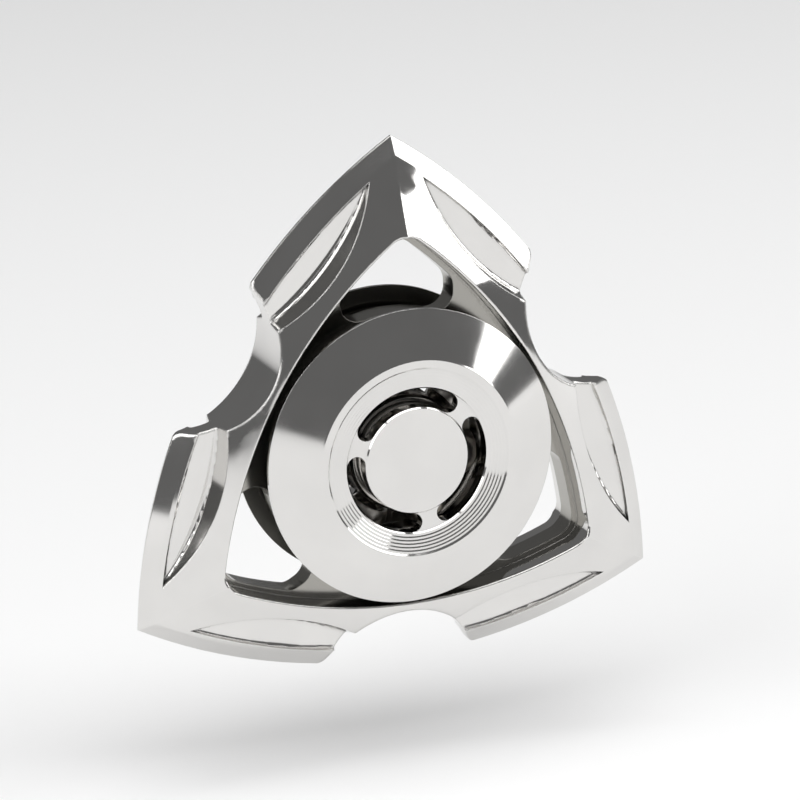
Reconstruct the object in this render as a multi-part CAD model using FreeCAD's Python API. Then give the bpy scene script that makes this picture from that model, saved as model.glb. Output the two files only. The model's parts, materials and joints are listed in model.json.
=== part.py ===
import FreeCAD, Part
import math
import os

# Three-pointed metal fidget spinner, in millimetres.
# Each piece is drawn with its spin axis along Z and its front towards +Z, then
# turned upright for the row frame: +Z up through one point, front towards -Y.

Vector = FreeCAD.Vector
ORIGIN = Vector(0, 0, 0)
SPIN = Vector(0, 0, 1)
POINTS = 3
POINT_ANGLES = [90 + 120 * i for i in range(POINTS)]
SIDE_ANGLES = [150 + 120 * i for i in range(POINTS)]

# Driving sizes of the spinning body
CORNER_REACH = 32.0          # spin axis to each sharp point
SIDE_REACH = 22.9            # spin axis to the bulge of each side, scallops filled in
CLEAR_HALF = 6.0             # half height that clears the whole body
OPENING_SIDE = 15.75         # spin axis to the opening's wall at mid-side
OPENING_CORNER = 23.0        # spin axis to where those walls would meet, before rounding
OPENING_ROUND = 2.3
OPENING_SOFTENING = 0.2      # rolled edge where the opening breaks through front and back

# Each half rises inward through these outlines: (corner reach, height), (side reach, height)
BELT = ((CORNER_REACH, 0.12), (SIDE_REACH, 0.12))
SHELF = ((30.3, 1.25), (21.43, 1.25))
CROWN = ((26.2, 2.75), (18.8, 2.95))
CREST = ((21.5, 5.1), (14.6, 4.4))

# Scallop in the middle of each side
SCALLOP_RADIUS = 8.6
SCALLOP_REACH = 16.65        # spin axis to the scallop's deepest line
SHOULDER_ROUND = 1.0
SHOULDER_RUN_OUT = 0.04      # the rolled shoulder ends this far outside the belt, to cross it cleanly

# Leaf-shaped scoops beside each point
SCOOP_FLOOR = 1.05
SCOOP_ALONG = 17.6           # centre of the curved wall, measured along the side
SCOOP_REACH = 15.75          # spin axis to the curved wall's nearest line, at the flank
SCOOP_WALL_RADIUS = 25.2
SCOOP_WALL_TAPER = 0.22      # radius gained for each unit of height
SCOOP_WALL_TOP = 1.95        # height where the wall has that radius
SCOOP_LIP_INSET = 0.5        # lip's foot, inside the shelf's outline
SCOOP_LIP_TAPER = 0.25
SCOOP_FILLET = 0.35

# Web, windows and hub
WEB_HALF = 1.3
WINDOW_HALF_WIDTH = 6.1
WINDOW_ROUND = 2.0
WINDOW_LEDGE = 0.6
WEB_RING_RADIUS = 14.1
HUB_RADIUS = 13.2
HUB_HALF = 4.3
SHOULDER_BORE = 10.2         # rear shoulder that the bearing rests on

# 608 ball bearing
BEARING_BORE = 4.0
BEARING_RADIUS = 11.0
BEARING_HALF = 3.5
PITCH_RADIUS = 7.5
BALL_RADIUS = 3.969 / 2
BALL_COUNT = 7
GROOVE_RADIUS = BALL_RADIUS + 0.06
INNER_LAND = 6.05
OUTER_LAND = 8.95
RACE_CHAMFER = 0.3
CAGE_INNER = 6.75
CAGE_OUTER = 8.25
CAGE_SHEET = 0.3
POCKET_RADIUS = BALL_RADIUS + 0.08
RIVET_RADIUS = 0.3
RIVET_HEAD = 0.15            # height of a rivet's head, and how far it reaches past the shank

# Retaining ring
RING_SHEET = 0.4
RING_INNER = 9.9
GROOVE_DEPTH = 0.4
RING_GAP_ANGLE = 34

# Finger buttons
BUTTON_RADIUS = 15.3
BUTTON_BACK = 4.4
RIM_TOP = 4.76
DISH_RADIUS = 10.7
DISH_TOP = 6.95
DISH_FLOOR = 6.45
LIP_WIDTH = 0.9
STEP_COUNT = 5               # fine ring steps from the slots up to the lip
STEP_OUTER = 9.6
STEP_SLOPE = 0.35            # share of each step that slopes, the rest is flat
STEP_BORDER = 0.4            # flat border between the slots and the first step
EDGE_BREAK = 0.15            # softened edges of the disc, the slots and the lip
SLOT_OUTER = 7.5
SLOT_INNER = 5.55
BRIDGE_ANGLES = [42, 162, 282]
BRIDGE_WIDTH = 1.7
RECESS_RADIUS = 13.7
RECESS_TOP = 5.0
BOSS_RADIUS = 5.3

# Axle
SPACER_SHEET = 0.4
SPACER_RADIUS = 5.2
STUD_RADIUS = 2.5
STUD_HALF = 5.2
STUD_CHAMFER = 0.4
STUD_HOLE_HALF = 5.5
SLEEVE_RADIUS = BEARING_BORE


def polar(radius, angle, z=0.0):
    """Point at a radius and an angle in degrees."""
    turn = math.radians(angle)
    return Vector(radius * math.cos(turn), radius * math.sin(turn), z)


def side_arc(corner, middle):
    """Radius and centre offset of the arc that bulges to middle between two corners."""
    offset = (corner ** 2 - middle ** 2) / (2 * middle - corner)
    return middle + offset, offset


def outline_edges(outline):
    """Three bulging sides through (corner reach, height) and (side reach, height)."""
    (corner, corner_z), (side, side_z) = outline
    edges = []
    for start in POINT_ANGLES:
        ends = [polar(corner, start, corner_z), polar(corner, start + 120, corner_z)]
        edges.append(Part.Arc(ends[0], polar(side, start + 60, side_z), ends[1]).toShape())
    return edges


def inset_corner(corner, middle, inset):
    """Corner reach of the same three-sided outline, drawn inset all round."""
    radius, offset = side_arc(corner, middle)
    return (math.sqrt(4 * (radius - inset) ** 2 - 3 * offset ** 2) - offset) / 2


def three_sided_prism(corner, middle, half, corner_round):
    """Prism on that outline, centred on the middle plane, with rounded corners."""
    wire = Part.Wire(outline_edges(((corner, -half), (middle, -half))))
    face = Part.Face(wire)
    prism = face.extrude(Vector(0, 0, 2 * half))
    upright = [edge for edge in prism.Edges if is_upright(edge)]
    return prism.makeFillet(corner_round, upright)


def is_upright(edge):
    """True for an edge that runs along the spin axis."""
    ends = [vertex.Point for vertex in edge.Vertexes]
    return len(ends) == 2 and (ends[1] - ends[0]).cross(SPIN).Length < 1e-6


def mirrored(shape):
    """Copy on the other side of the middle plane."""
    return shape.mirror(ORIGIN, SPIN)


def turned(shape, angle):
    """Copy turned about the spin axis."""
    copy = shape.copy()
    copy.rotate(ORIGIN, SPIN, angle)
    return copy


def ring(outer, inner, low, high):
    """Plain ring between two heights."""
    height = high - low
    base = Vector(0, 0, low)
    return Part.makeCylinder(outer, height, base).cut(Part.makeCylinder(inner, height, base))


def turned_profile(points):
    """Solid of revolution from (radius, height) points."""
    corners = [Vector(radius, 0, height) for radius, height in points]
    wire = Part.makePolygon(corners + corners[:1])
    return Part.Face(wire).revolve(ORIGIN, SPIN, 360)


def bevelled_blank():
    """Solid body before anything is cut: belt, steep outer bevel and rounded flanks."""
    belt, shelf, crown, crest = [outline_edges(level) for level in (BELT, SHELF, CROWN, CREST)]
    half = [Part.makeRuledSurface(low, high) for low, high in zip(belt, shelf)]
    for section in zip(shelf, crown, crest):
        half += Part.makeLoft([Part.Wire([edge]) for edge in section]).Faces
    half.append(Part.makeFilledFace(crest))
    band = [edge.extrude(Vector(0, 0, -2 * edge.Vertexes[0].Z)) for edge in belt]
    shell = Part.makeShell(half + [mirrored(face) for face in half] + band)
    shell.sewShape()
    return Part.makeSolid(shell)


def scallop_cutter():
    """Cutter for one side, drawn across +Y, with rolled-over shoulders."""
    belt_radius, belt_offset = side_arc(CORNER_REACH, SIDE_REACH)
    belt_radius += SHOULDER_RUN_OUT
    hollow_y = SCALLOP_REACH + SCALLOP_RADIUS
    to_belt = belt_radius - SHOULDER_ROUND
    to_hollow = SCALLOP_RADIUS + SHOULDER_ROUND
    gap = hollow_y + belt_offset
    round_y = ((to_belt ** 2 - to_hollow ** 2) / gap + hollow_y - belt_offset) / 2
    round_x = math.sqrt(to_hollow ** 2 - (hollow_y - round_y) ** 2)
    on_belt = Vector(round_x, round_y + belt_offset, 0) * (belt_radius / to_belt)
    on_belt.y -= belt_offset
    on_hollow = Vector(round_x, round_y - hollow_y, 0) * (SCALLOP_RADIUS / to_hollow)
    on_hollow.y += hollow_y
    to_crown = (on_belt + on_hollow) * 0.5 - Vector(round_x, round_y, 0)
    crown = Vector(round_x, round_y, 0) + to_crown.normalize() * SHOULDER_ROUND
    outside = Vector(on_belt.x, hollow_y, 0)

    def flip(point):
        return Vector(-point.x, point.y, 0)

    edges = [
        Part.Arc(on_belt, crown, on_hollow).toShape(),
        Part.Arc(on_hollow, Vector(0, SCALLOP_REACH, 0), flip(on_hollow)).toShape(),
        Part.Arc(flip(on_hollow), flip(crown), flip(on_belt)).toShape(),
        Part.makeLine(flip(on_belt), flip(outside)),
        Part.makeLine(flip(outside), outside),
        Part.makeLine(outside, on_belt),
    ]
    cutter = Part.Face(Part.Wire(edges)).extrude(Vector(0, 0, 2 * CLEAR_HALF))
    cutter.translate(Vector(0, 0, -CLEAR_HALF))
    return cutter


def scoop_cup(radius, taper, centre):
    """Flat-bottomed tapered cup with a rounded inside corner."""
    fillet = SCOOP_FILLET
    height = CLEAR_HALF - SCOOP_FLOOR
    half_turn = math.atan(1 / taper) / 2
    reach = fillet * math.tan(half_turn)
    along = Vector(taper, 0, 1).normalize() * reach
    corner = Vector(radius, 0, 0)
    start = corner - Vector(reach, 0, 0)
    end = corner + along
    centre_of_round = start + Vector(0, 0, fillet)
    middle = centre_of_round + (corner - centre_of_round).normalize() * fillet
    top = Vector(radius + taper * height, 0, height)
    edges = [
        Part.makeLine(ORIGIN, start),
        Part.Arc(start, middle, end).toShape(),
        Part.makeLine(end, top),
        Part.makeLine(top, Vector(0, 0, height)),
        Part.makeLine(Vector(0, 0, height), ORIGIN),
    ]
    cup = Part.Face(Part.Wire(edges)).revolve(ORIGIN, SPIN, 360)
    cup.translate(centre + Vector(0, 0, SCOOP_FLOOR))
    return cup


def scoop_cutter(hand):
    """Cutter for one leaf-shaped scoop, drawn on a side that faces +Y."""
    wall_low = SCOOP_WALL_RADIUS - SCOOP_WALL_TAPER * (SCOOP_WALL_TOP - SCOOP_FLOOR)
    wall_centre = Vector(hand * SCOOP_ALONG, SCOOP_REACH + SCOOP_WALL_RADIUS, 0)
    shelf_radius, shelf_offset = side_arc(SHELF[0][0], SHELF[1][0])
    wall = scoop_cup(wall_low, SCOOP_WALL_TAPER, wall_centre)
    lip = scoop_cup(shelf_radius - SCOOP_LIP_INSET, SCOOP_LIP_TAPER, Vector(0, -shelf_offset, 0))
    return wall.common(lip)


def window_cutters():
    """Rounded windows through the web, one under each point."""
    height = 2 * WEB_HALF
    inner = inset_corner(OPENING_CORNER, OPENING_SIDE, WINDOW_LEDGE)
    opening = three_sided_prism(inner, OPENING_SIDE - WINDOW_LEDGE, WEB_HALF, OPENING_ROUND)
    corner_block = Part.makeBox(2 * WINDOW_HALF_WIDTH, OPENING_CORNER, height,
                                Vector(-WINDOW_HALF_WIDTH, 0, -WEB_HALF))
    hub = Part.makeCylinder(WEB_RING_RADIUS, height, Vector(0, 0, -WEB_HALF))
    window = opening.common(corner_block).cut(hub)
    corners = [edge for edge in window.Edges
               if is_upright(edge) and abs(abs(edge.Vertexes[0].X) - WINDOW_HALF_WIDTH) < 0.01]
    window = window.makeFillet(WINDOW_ROUND, corners)
    return [turned(window, angle - 90) for angle in POINT_ANGLES]


def hub_bore():
    """Bearing seat: straight bore, rear shoulder and groove for the retaining ring."""
    groove_top = BEARING_HALF + RING_SHEET
    seat = Part.makeCylinder(BEARING_RADIUS, HUB_HALF + BEARING_HALF, Vector(0, 0, -BEARING_HALF))
    shoulder = Part.makeCylinder(SHOULDER_BORE, HUB_HALF, Vector(0, 0, -HUB_HALF))
    groove = Part.makeCylinder(BEARING_RADIUS + GROOVE_DEPTH, groove_top - BEARING_HALF,
                               Vector(0, 0, BEARING_HALF))
    return seat.multiFuse([shoulder, groove])


def rim_edges(body, opening):
    """The body's edges where the opening breaks through its front and back."""
    rims = []
    for edge in body.Edges:
        first, last = edge.ParameterRange
        middle = Part.Vertex(edge.valueAt((first + last) / 2))
        if opening.distToShape(middle)[0] < 1e-4 and not is_upright(edge):
            rims.append(edge)
    return rims


def spinner_frame():
    """One-piece body: outer ring, scalloped sides, scooped flanks, web and hub."""
    scallop = scallop_cutter()
    scoops = [scoop_cutter(hand) for hand in (-1, 1)]
    opening = three_sided_prism(OPENING_CORNER, OPENING_SIDE, CLEAR_HALF, OPENING_ROUND)
    body = bevelled_blank().cut([turned(scallop, angle - 90) for angle in SIDE_ANGLES] + [opening])
    body = body.makeFillet(OPENING_SOFTENING, rim_edges(body, opening))
    scoop_cuts = []
    for angle in SIDE_ANGLES:
        for scoop in scoops:
            front = turned(scoop, angle - 90)
            scoop_cuts += [front, mirrored(front)]
    body = body.cut(scoop_cuts)
    web = three_sided_prism(OPENING_CORNER, OPENING_SIDE, WEB_HALF, OPENING_ROUND)
    web = web.cut(window_cutters())
    hub = Part.makeCylinder(HUB_RADIUS, 2 * HUB_HALF, Vector(0, 0, -HUB_HALF))
    body = body.multiFuse([web, hub]).cut(hub_bore())
    return body.removeSplitter()


def finger_slots():
    """Three arc slots with round ends around the button's central disc."""
    middle = (SLOT_OUTER + SLOT_INNER) / 2
    round_end = (SLOT_OUTER - SLOT_INNER) / 2
    low = BUTTON_BACK
    height = DISH_TOP - low
    half_bridge = math.degrees((BRIDGE_WIDTH / 2 + round_end) / middle)
    slots = []
    for bridge in BRIDGE_ANGLES:
        start = bridge + half_bridge
        sweep = 120 - 2 * half_bridge
        face = Part.makeCylinder(SLOT_OUTER, height, Vector(0, 0, low), SPIN, sweep)
        face = face.cut(Part.makeCylinder(SLOT_INNER, height, Vector(0, 0, low)))
        face.rotate(ORIGIN, SPIN, start)
        ends = [Part.makeCylinder(round_end, height, polar(middle, angle, low))
                for angle in (start, start + sweep)]
        slots.append(face.multiFuse(ends).removeSplitter())
    return slots


def button_profile():
    """Half section of a finger button, from the axis out."""
    cut = EDGE_BREAK
    first_step = SLOT_OUTER + STEP_BORDER
    step = (STEP_OUTER - first_step) / STEP_COUNT
    rise = (DISH_TOP - EDGE_BREAK - DISH_FLOOR) / STEP_COUNT
    points = [(0, DISH_FLOOR), (SLOT_INNER - cut, DISH_FLOOR), (SLOT_INNER, DISH_FLOOR - cut),
              (SLOT_OUTER, DISH_FLOOR - cut), (SLOT_OUTER + cut, DISH_FLOOR),
              (first_step, DISH_FLOOR)]
    for index in range(STEP_COUNT):
        radius = first_step + step * index
        top = DISH_FLOOR + rise * (index + 1)
        points += [(radius + step * STEP_SLOPE, top), (radius + step, top)]
    points += [(DISH_RADIUS - LIP_WIDTH, DISH_TOP), (DISH_RADIUS - cut, DISH_TOP),
               (DISH_RADIUS, DISH_TOP - cut / 2)]
    points += [(BUTTON_RADIUS, RIM_TOP), (BUTTON_RADIUS, BUTTON_BACK),
               (RECESS_RADIUS, BUTTON_BACK), (RECESS_RADIUS, RECESS_TOP),
               (BOSS_RADIUS, RECESS_TOP), (BOSS_RADIUS, BEARING_HALF + SPACER_SHEET),
               (0, BEARING_HALF + SPACER_SHEET)]
    return points


def finger_button():
    """Dished finger button, drawn on the front."""
    button = turned_profile(button_profile())
    stud_hole = Part.makeCylinder(STUD_RADIUS, STUD_HOLE_HALF)
    return button.cut(finger_slots() + [stud_hole])


def race(outer, inner):
    """Bearing ring with chamfered corners and a ball groove."""
    cut = RACE_CHAMFER
    half = BEARING_HALF
    section = [(inner, -half + cut), (inner + cut, -half), (outer - cut, -half), (outer, -half + cut),
               (outer, half - cut), (outer - cut, half), (inner + cut, half), (inner, half - cut)]
    groove = Part.makeTorus(PITCH_RADIUS, GROOVE_RADIUS)
    return turned_profile(section).cut(groove)


def ball_angles():
    """Angle of every ball, evenly round the pitch circle."""
    return [90 + 360.0 / BALL_COUNT * index for index in range(BALL_COUNT)]


def ball(angle):
    """One steel ball in its place on the pitch circle."""
    return Part.makeSphere(BALL_RADIUS, polar(PITCH_RADIUS, angle))


def rivet_angles():
    """Angle of every rivet, half way between two balls."""
    return [angle + 180.0 / BALL_COUNT for angle in ball_angles()]


def cage_half():
    """Pressed sheet ribbon that bends round the front half of every ball."""
    sheet = Part.makeCylinder(CAGE_OUTER, CAGE_SHEET)
    domes = [Part.makeSphere(POCKET_RADIUS + CAGE_SHEET, polar(PITCH_RADIUS, angle))
             for angle in ball_angles()]
    pockets = [Part.makeSphere(POCKET_RADIUS, polar(PITCH_RADIUS, angle)) for angle in ball_angles()]
    rivets = [Part.makeCylinder(RIVET_RADIUS, CAGE_SHEET, polar(PITCH_RADIUS, angle))
              for angle in rivet_angles()]
    ribbon = ring(CAGE_OUTER, CAGE_INNER, 0, POCKET_RADIUS + CAGE_SHEET)
    return sheet.multiFuse(domes).common(ribbon).cut(pockets + rivets).removeSplitter()


def cage_rivets():
    """One headed rivet between each two balls."""
    rivets = []
    for angle in rivet_angles():
        shank = Part.makeCylinder(RIVET_RADIUS, 2 * CAGE_SHEET, polar(PITCH_RADIUS, angle, -CAGE_SHEET))
        heads = [Part.makeCylinder(RIVET_RADIUS + RIVET_HEAD, RIVET_HEAD, polar(PITCH_RADIUS, angle, low))
                 for low in (CAGE_SHEET, -CAGE_SHEET - RIVET_HEAD)]
        rivets.append(shank.multiFuse(heads).removeSplitter())
    return Part.makeCompound(rivets)


def retaining_ring():
    """Open spring ring in the hub's groove."""
    outer = BEARING_RADIUS + GROOVE_DEPTH
    low = BEARING_HALF
    body = ring(outer, RING_INNER, low, low + RING_SHEET)
    gap = Part.makeCylinder(outer + 1, RING_SHEET, Vector(0, 0, low), SPIN, RING_GAP_ANGLE)
    gap.rotate(ORIGIN, SPIN, -90 - RING_GAP_ANGLE / 2)
    return body.cut(gap)


def spacer():
    """Thin washer between the inner race and a button's boss."""
    return ring(SPACER_RADIUS, BEARING_BORE, BEARING_HALF, BEARING_HALF + SPACER_SHEET)


def axle_sleeve():
    """Tube through the bearing's bore that keeps the two buttons apart."""
    reach = BEARING_HALF + SPACER_SHEET
    return ring(SLEEVE_RADIUS, STUD_RADIUS, -reach, reach)


def axle_stud():
    """Stud that both buttons screw onto, with chamfered ends."""
    cut = STUD_CHAMFER
    return turned_profile([(0, -STUD_HALF), (STUD_RADIUS - cut, -STUD_HALF),
                           (STUD_RADIUS, -STUD_HALF + cut), (STUD_RADIUS, STUD_HALF - cut),
                           (STUD_RADIUS - cut, STUD_HALF), (0, STUD_HALF)])


def other_side(shape):
    """The same piece fitted from the back, turned over about the upright axis."""
    copy = shape.copy()
    copy.rotate(ORIGIN, Vector(0, 1, 0), 180)
    return copy


def save(name, shape):
    """Turn a piece upright and write it, checked, to its own file."""
    upright = shape.copy()
    upright.rotate(ORIGIN, Vector(1, 0, 0), 90)
    if not upright.isValid():
        raise ValueError(name + " is not a valid solid")
    solids = upright.Solids
    upright = solids[0] if len(solids) == 1 else Part.makeCompound(solids)
    upright.exportStep("parts/" + name + ".step")
    box = upright.BoundBox
    print(name, len(solids), "solid(s)", round(upright.Volume, 1), "mm3",
          [round(size, 2) for size in (box.XLength, box.YLength, box.ZLength)])


def main():
    os.makedirs("parts", exist_ok=True)
    button = finger_button()
    cage = cage_half()
    washer = spacer()
    pieces = {
        "spinner_frame": spinner_frame(),
        "front_button": button,
        "rear_button": other_side(button),
        "bearing_outer_race": race(BEARING_RADIUS, OUTER_LAND),
        "bearing_inner_race": race(INNER_LAND, BEARING_BORE),
        "cage_front": cage,
        "cage_rear": mirrored(cage),
        "cage_rivets": cage_rivets(),
        "retaining_ring": retaining_ring(),
        "front_spacer": washer,
        "rear_spacer": other_side(washer),
        "axle_sleeve": axle_sleeve(),
        "axle_stud": axle_stud(),
    }
    for number, angle in enumerate(ball_angles(), 1):
        pieces["ball_" + str(number)] = ball(angle)
    for name, shape in pieces.items():
        save(name, shape)


main()
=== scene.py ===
import json
import math

import bpy
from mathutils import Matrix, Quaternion, Vector

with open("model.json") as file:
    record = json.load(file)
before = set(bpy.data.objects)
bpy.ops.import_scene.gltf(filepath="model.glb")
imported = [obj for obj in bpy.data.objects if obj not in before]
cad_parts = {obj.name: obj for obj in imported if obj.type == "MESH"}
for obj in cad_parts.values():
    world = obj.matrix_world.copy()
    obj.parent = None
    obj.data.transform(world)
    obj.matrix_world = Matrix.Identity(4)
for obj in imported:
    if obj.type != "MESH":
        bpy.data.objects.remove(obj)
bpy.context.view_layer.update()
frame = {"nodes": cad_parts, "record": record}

# The viewpoint, in the row frame (metres, +Z up, front towards -Y)
AZIMUTH = -22.25
ELEVATION = 17.19
ROLL = -0.53
DISTANCE = 0.5697
LENS = 254.5
SENSOR = 36.0
AIM = Vector((0.0012, 0.0010, 0.0041))

MM = 0.001
MICRON = 0.000001
SPIN_AXIS = "Y"
OFF_AXIS = (1, 0, 1)         # keeps the distance from the spin axis

# The frame's shape, in mm, where its finish and its painted shade change
SIDE_ANGLES = (30, 150, 270)
SCALLOP_RADIUS = 8.6         # the hollow in each side
SCALLOP_CENTRE = 25.25       # its centre, from the spin axis
ROLLED_EDGE = 0.45           # round on the hollows' edges, wider than on the others
WEB_FACE = 1.32              # just outside the web's two faces
WALL_CENTRE = 33.05          # centre of each arched wall of the ring's opening, behind the axis
WALL_REACH = 48.78           # just inside that wall, from its centre

# Wear, and painted shade in tight corners
CORNER_SHADE_REACH = 0.5            # how far the painted shade spreads from a tight corner, in mm
CORNER_SHADE = 0.3                  # how dark the painted corner shade is, against the clean steel
SCUFF = 0.08                 # roughness that worn edges gain
MILLED_ROUGHNESS = 0.12      # roughness that the web gains
INSIDE_ROUGHNESS = 0.3       # roughness that the buttons' inner faces gain

# The studio: an even room, and large neutral softboxes that face the object
ROOM = (0.15, 0.15, 0.15)
BACKDROP = (0.92, 0.92, 0.92)
FLOOR_REACH = 1.5            # from the middle to each edge, in metres
FLOOR_LEVEL = -0.0325        # the points reach 32 mm and clear it as they spin
FLOOR_COLOUR = (0.92, 0.92, 0.92)

# Each softbox: azimuth, elevation, then distance, width and height in metres, then power in watts
SOFTBOXES = {
    "overhead": (0, 80, 0.8, 0.8, 0.8, 5.0),
    "left": (-70, 30, 0.9, 0.6, 0.7, 3.5),
    "right": (70, 30, 0.9, 0.6, 0.7, 3.5),
}


def direction(azimuth, elevation):
    """Unit vector from the object towards a place in the studio; azimuth 0 is in front."""
    a, e = math.radians(azimuth), math.radians(elevation)
    return Vector((math.sin(a) * math.cos(e), -math.cos(a) * math.cos(e), math.sin(e)))


def make_camera():
    """Long lens at the viewpoint, tilted by the roll."""
    data = bpy.data.cameras.new("camera")
    data.lens = LENS
    data.sensor_width = SENSOR
    data.clip_start = 0.01
    data.clip_end = 20.0
    camera = bpy.data.objects.new("camera", data)
    bpy.context.scene.collection.objects.link(camera)
    back = direction(AZIMUTH, ELEVATION)
    level = (-back).to_track_quat("-Z", "Y")
    camera.location = AIM + back * DISTANCE
    camera.rotation_mode = "QUATERNION"
    camera.rotation_quaternion = level @ Quaternion((0, 0, 1), math.radians(ROLL))
    bpy.context.scene.camera = camera


class Graph:
    """Short calls for building one node tree."""

    def __init__(self, tree):
        self.tree = tree

    def add(self, kind, **settings):
        node = self.tree.nodes.new(kind)
        for name, value in settings.items():
            setattr(node, name, value)
        return node

    def put(self, socket, value):
        """Links an output socket to an input, or sets the input's own value."""
        if isinstance(value, bpy.types.NodeSocket):
            self.tree.links.new(value, socket)
        else:
            socket.default_value = value

    def math(self, operation, *values, clamp=False):
        node = self.add("ShaderNodeMath", operation=operation, use_clamp=clamp)
        for socket, value in zip(node.inputs, values):
            self.put(socket, value)
        return node.outputs["Value"]

    def vector(self, operation, *values, output="Vector"):
        node = self.add("ShaderNodeVectorMath", operation=operation)
        for socket, value in zip(node.inputs, values):
            self.put(socket, value)
        return node.outputs[output]

    def parts(self, vector):
        """A vector's X, Y and Z."""
        node = self.add("ShaderNodeSeparateXYZ")
        self.put(node.inputs[0], vector)
        return node.outputs

    def noise(self, place, scale, detail):
        """Cloudy noise from 0 to 1; scale is its clouds in each metre."""
        node = self.add("ShaderNodeTexNoise")
        self.put(node.inputs["Vector"], place)
        node.inputs["Scale"].default_value = scale
        node.inputs["Detail"].default_value = detail
        return node.outputs["Fac"]

    def fade(self, value, low, high, at_low=0.0, at_high=1.0):
        """Smooth change from at_low to at_high while value goes from low to high."""
        node = self.add("ShaderNodeMapRange", interpolation_type="SMOOTHSTEP", clamp=True)
        for name, amount in (("Value", value), ("From Min", low), ("From Max", high),
                             ("To Min", at_low), ("To Max", at_high)):
            self.put(node.inputs[name], amount)
        return node.outputs["Result"]

    def mix(self, share, first, second):
        """Colour between first and second."""
        node = self.add("ShaderNodeMix", data_type="RGBA")
        self.put(node.inputs["Factor"], share)
        for name, colour in (("A", first), ("B", second)):
            socket = [s for s in node.inputs if s.name == name and s.type == "RGBA"][0]
            self.put(socket, colour)
        return [s for s in node.outputs if s.type == "RGBA"][0]


def make_room():
    """Even grey room, which the camera sees as a plain pale backdrop."""
    world = bpy.data.worlds.new("studio")
    world.use_nodes = True
    bpy.context.scene.world = world
    graph = Graph(world.node_tree)
    background = world.node_tree.nodes["Background"]
    seen = graph.add("ShaderNodeLightPath").outputs["Is Camera Ray"]
    graph.put(background.inputs["Color"], graph.mix(seen, (*ROOM, 1), (*BACKDROP, 1)))


def make_softboxes():
    """Large neutral area lights, all facing the object."""
    for name, (azimuth, elevation, distance, width, height, power) in SOFTBOXES.items():
        data = bpy.data.lights.new(name, "AREA")
        data.shape = "RECTANGLE"
        data.size = width
        data.size_y = height
        data.energy = power
        softbox = bpy.data.objects.new(name, data)
        bpy.context.scene.collection.objects.link(softbox)
        towards = direction(azimuth, elevation)
        softbox.location = towards * distance
        softbox.rotation_mode = "QUATERNION"
        softbox.rotation_quaternion = (-towards).to_track_quat("-Z", "Y")


def make_floor():
    """Plain pale floor, clear of the spinning points."""
    data = bpy.data.meshes.new("floor")
    corners = [(x, y, FLOOR_LEVEL) for x, y in ((-1, -1), (1, -1), (1, 1), (-1, 1))]
    corners = [(x * FLOOR_REACH, y * FLOOR_REACH, z) for x, y, z in corners]
    data.from_pydata(corners, [], [(0, 1, 2, 3)])
    floor = bpy.data.objects.new("floor", data)
    bpy.context.scene.collection.objects.link(floor)
    material = bpy.data.materials.new("floor")
    material.use_nodes = True
    shader = material.node_tree.nodes["Principled BSDF"]
    shader.inputs["Base Color"].default_value = (*FLOOR_COLOUR, 1)
    shader.inputs["Roughness"].default_value = 0.9
    shader.inputs["Specular IOR Level"].default_value = 0.1
    data.materials.append(material)


def side_distances(graph, place, reach):
    """Distance from the point at that reach, in mm, on each side's middle line, seen along the spin axis."""
    flattened = graph.vector("MULTIPLY", place, OFF_AXIS)
    distances = []
    for angle in SIDE_ANGLES:
        turn = math.radians(angle)
        centre = (reach * MM * math.cos(turn), 0, reach * MM * math.sin(turn))
        distances.append(graph.vector("DISTANCE", flattened, centre, output="Value"))
    return distances


def near_scallop(graph, place):
    """1 beside the edge of each side's hollow, 0 further out on the flank."""
    nearest = 1.0
    for distance in side_distances(graph, place, SCALLOP_CENTRE):
        nearest = graph.math("MINIMUM", distance, nearest)
    reach = (SCALLOP_RADIUS + ROLLED_EDGE) * MM
    return graph.fade(nearest, reach, reach + ROLLED_EDGE * MM, 1.0, 0.0)


def on_web(graph, place):
    """1 on the web between the hub and the outer ring."""
    farthest = 0.0
    for distance in side_distances(graph, place, -WALL_CENTRE):
        farthest = graph.math("MAXIMUM", distance, farthest)
    height = graph.parts(graph.vector("ABSOLUTE", place))["Y"]
    shallow = graph.math("LESS_THAN", height, WEB_FACE * MM)
    return graph.math("MULTIPLY", shallow, graph.math("LESS_THAN", farthest, WALL_REACH * MM))


def facing_inward(graph, place, normal):
    """1 on faces that look towards the middle plane."""
    lean = graph.parts(graph.vector("MULTIPLY", normal, place))["Y"]
    return graph.math("LESS_THAN", lean, -0.5 * MM)


def softened(graph, radius, samples):
    """Normal with the edges rounded by a radius in mm."""
    bevel = graph.add("ShaderNodeBevel", samples=samples)
    bevel.inputs["Radius"].default_value = radius * MM
    return bevel.outputs["Normal"]


def rolled_scallops(graph, place, normal):
    """That normal, with the wider round beside the scallops."""
    wide = softened(graph, ROLLED_EDGE, 6)
    step = graph.vector("SUBTRACT", wide, normal)
    share = graph.add("ShaderNodeVectorMath", operation="SCALE")
    graph.put(share.inputs[0], step)
    graph.put(share.inputs["Scale"], near_scallop(graph, place))
    return graph.vector("NORMALIZE", graph.vector("ADD", normal, share.outputs["Vector"]))


def worn_edges(graph, rounded, flat, speckle):
    """1 on worn edges, where the softened normal leaves the flat one."""
    agree = graph.vector("DOT_PRODUCT", rounded, flat, output="Value")
    edge = graph.fade(agree, 0.995, 0.90)
    return graph.math("MULTIPLY", edge, graph.fade(speckle, 0.35, 0.65, 0.5, 1.0))


def painted_corner_shade(graph):
    """1 deep in a tight corner, where shade is painted into the colour."""
    light = graph.add("ShaderNodeAmbientOcclusion", samples=4, only_local=True)
    light.inputs["Distance"].default_value = CORNER_SHADE_REACH * MM
    return graph.fade(light.outputs["AO"], 0.45, 0.85, 1.0, 0.0)


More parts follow.
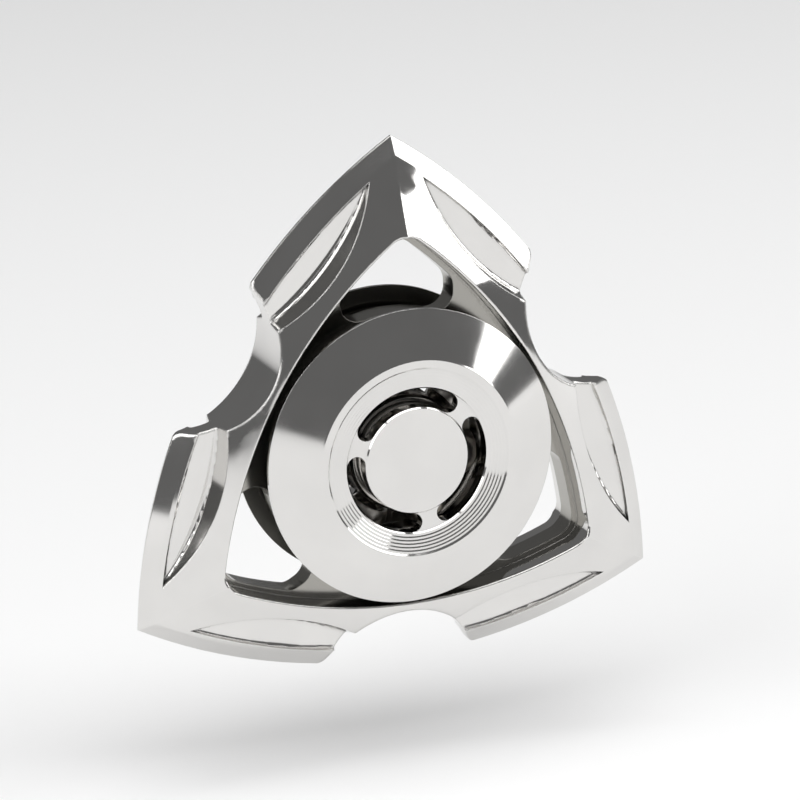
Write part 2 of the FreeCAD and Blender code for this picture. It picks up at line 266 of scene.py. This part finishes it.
def steel_tone(graph, colour, cloud, worn):
    """Barely uneven steel, brighter along worn edges, with painted shade darkening tight corners."""
    dull = tuple(c * 0.97 for c in colour)
    bright = tuple(min(1.0, c * 1.12) for c in colour)
    dark = tuple(c * CORNER_SHADE for c in colour)
    tone = graph.mix(graph.fade(cloud, 0.35, 0.65), (*dull, 1), (*colour, 1))
    tone = graph.mix(worn, tone, (*bright, 1))
    # painted shade: the colour is darkened in tight corners, found by ambient occlusion
    return graph.mix(painted_corner_shade(graph), tone, (*dark, 1))


def relief(graph, height, depth, normal):
    """Normal with a relief of that depth in microns."""
    bump = graph.add("ShaderNodeBump")
    bump.inputs["Distance"].default_value = depth * MICRON
    graph.put(bump.inputs["Height"], height)
    graph.put(bump.inputs["Normal"], normal)
    return bump.outputs["Normal"]


def turning_marks(graph, place):
    """Fine uneven rings round the spin axis."""
    parts = graph.parts(place)
    squares = [graph.math("POWER", parts[name], 2.0) for name in "XZ"]
    radius = graph.math("SQRT", graph.math("ADD", *squares))
    marks = graph.add("ShaderNodeTexNoise", noise_dimensions="1D")
    graph.put(marks.inputs["W"], graph.math("MULTIPLY", radius, 1 / MM))
    marks.inputs["Scale"].default_value = 9.0
    marks.inputs["Detail"].default_value = 3.0
    return marks.outputs["Fac"]


def spin_polish(graph, shader, anisotropy):
    """Stretches the reflections across the turning marks."""
    tangent = graph.add("ShaderNodeTangent", direction_type="RADIAL", axis=SPIN_AXIS)
    graph.put(shader.inputs["Tangent"], tangent.outputs["Tangent"])
    shader.inputs["Anisotropic"].default_value = anisotropy


def metal(name, colour, roughness, softening, grain, smudge, rings=0.0, anisotropy=0.0, inside=None,
          web_shade=None):
    """Steel with fine grain, smudges, softened edges that wear bright, and painted shade in tight corners.

    softening is the round of its edges in mm, grain the relief of its polishing lines in
    microns, smudge how far the roughness wanders, rings the relief of its turning marks in
    microns. inside is a dark colour painted as shade on faces that look towards the middle
    plane, where they sit between the parts; these faces are also rougher, as nobody polishes them.
    milled is a darker colour painted as shade on the frame's web, deep in its recess, and the web
    is also rougher; when it is given, the frame's scallops also get their wider round.
    """
    material = bpy.data.materials.new(name)
    material.use_nodes = True
    graph = Graph(material.node_tree)
    shader = material.node_tree.nodes["Principled BSDF"]
    shader.inputs["Metallic"].default_value = 1.0
    place = graph.add("ShaderNodeTexCoord").outputs["Object"]
    flat = graph.add("ShaderNodeNewGeometry").outputs["Normal"]

    normal = softened(graph, softening, 4)
    if web_shade:
        normal = rolled_scallops(graph, place, normal)
    cloud = graph.noise(place, 160, 3.0)
    speckle = graph.noise(place, 2600, 2.0)
    worn = worn_edges(graph, normal, flat, speckle)

    tone = steel_tone(graph, colour, cloud, worn)
    rough = graph.fade(cloud, 0.3, 0.7, roughness - smudge, roughness + smudge)
    rough = graph.math("MULTIPLY_ADD", speckle, smudge, rough)
    rough = graph.math("MULTIPLY_ADD", worn, SCUFF, rough, clamp=True)
    if web_shade:
        web = on_web(graph, place)
        # painted shade: the web, deep in its recess between hub and ring, gets a darker colour; its extra
        # roughness below is its rougher machined finish
        tone = graph.mix(web, tone, (*web_shade, 1))
        rough = graph.math("MULTIPLY_ADD", web, MILLED_ROUGHNESS, rough, clamp=True)
    if inside:
        inward = facing_inward(graph, place, flat)
        # painted shade: faces that look towards the middle plane get a dark colour, as if shaded between the
        # parts
        tone = graph.mix(inward, tone, (*inside, 1))
        rough = graph.math("MULTIPLY_ADD", inward, INSIDE_ROUGHNESS, rough, clamp=True)
    graph.put(shader.inputs["Base Color"], tone)
    graph.put(shader.inputs["Roughness"], rough)

    lines = graph.noise(graph.vector("MULTIPLY", place, (1.0, 0.25, 2.5)), 1500, 4.0)
    normal = relief(graph, lines, grain, normal)
    if rings:
        normal = relief(graph, turning_marks(graph, place), rings, normal)
    graph.put(shader.inputs["Normal"], normal)
    if anisotropy:
        spin_polish(graph, shader, anisotropy)
    return material


def make_finishes():
    """One material for each of the record's slots."""
    return {
        # polished_steel's milled colour and turned_steel's inside colour are painted shade, darker than the
        # steel's own colour
        "polished_steel": metal("polished_steel", (0.73, 0.72, 0.705), 0.045, 0.14, 0.12, 0.015,
                                web_shade=(0.36, 0.35, 0.325)),
        "turned_steel": metal("turned_steel", (0.73, 0.72, 0.705), 0.07, 0.06, 0.1, 0.02,
                              rings=0.4, anisotropy=0.4, inside=(0.16, 0.155, 0.14)),
        "bearing_steel": metal("bearing_steel", (0.52, 0.50, 0.47), 0.17, 0.08, 0.1, 0.02, rings=0.3),
        "cage_steel": metal("cage_steel", (0.45, 0.43, 0.40), 0.3, 0.05, 0.5, 0.05),
        "spring_steel": metal("spring_steel", (0.2, 0.195, 0.185), 0.3, 0.05, 0.5, 0.06),
    }


def dress(finishes):
    """Gives every node the finish of its slot."""
    for piece in frame["record"]["subparts"]:
        node = frame["nodes"][piece["node"]]
        node.data.materials.clear()
        node.data.materials.append(finishes[piece["material_slot"]])


make_camera()
make_room()
make_softboxes()
make_floor()
dress(make_finishes())
bpy.context.scene.view_settings.view_transform = "Standard"
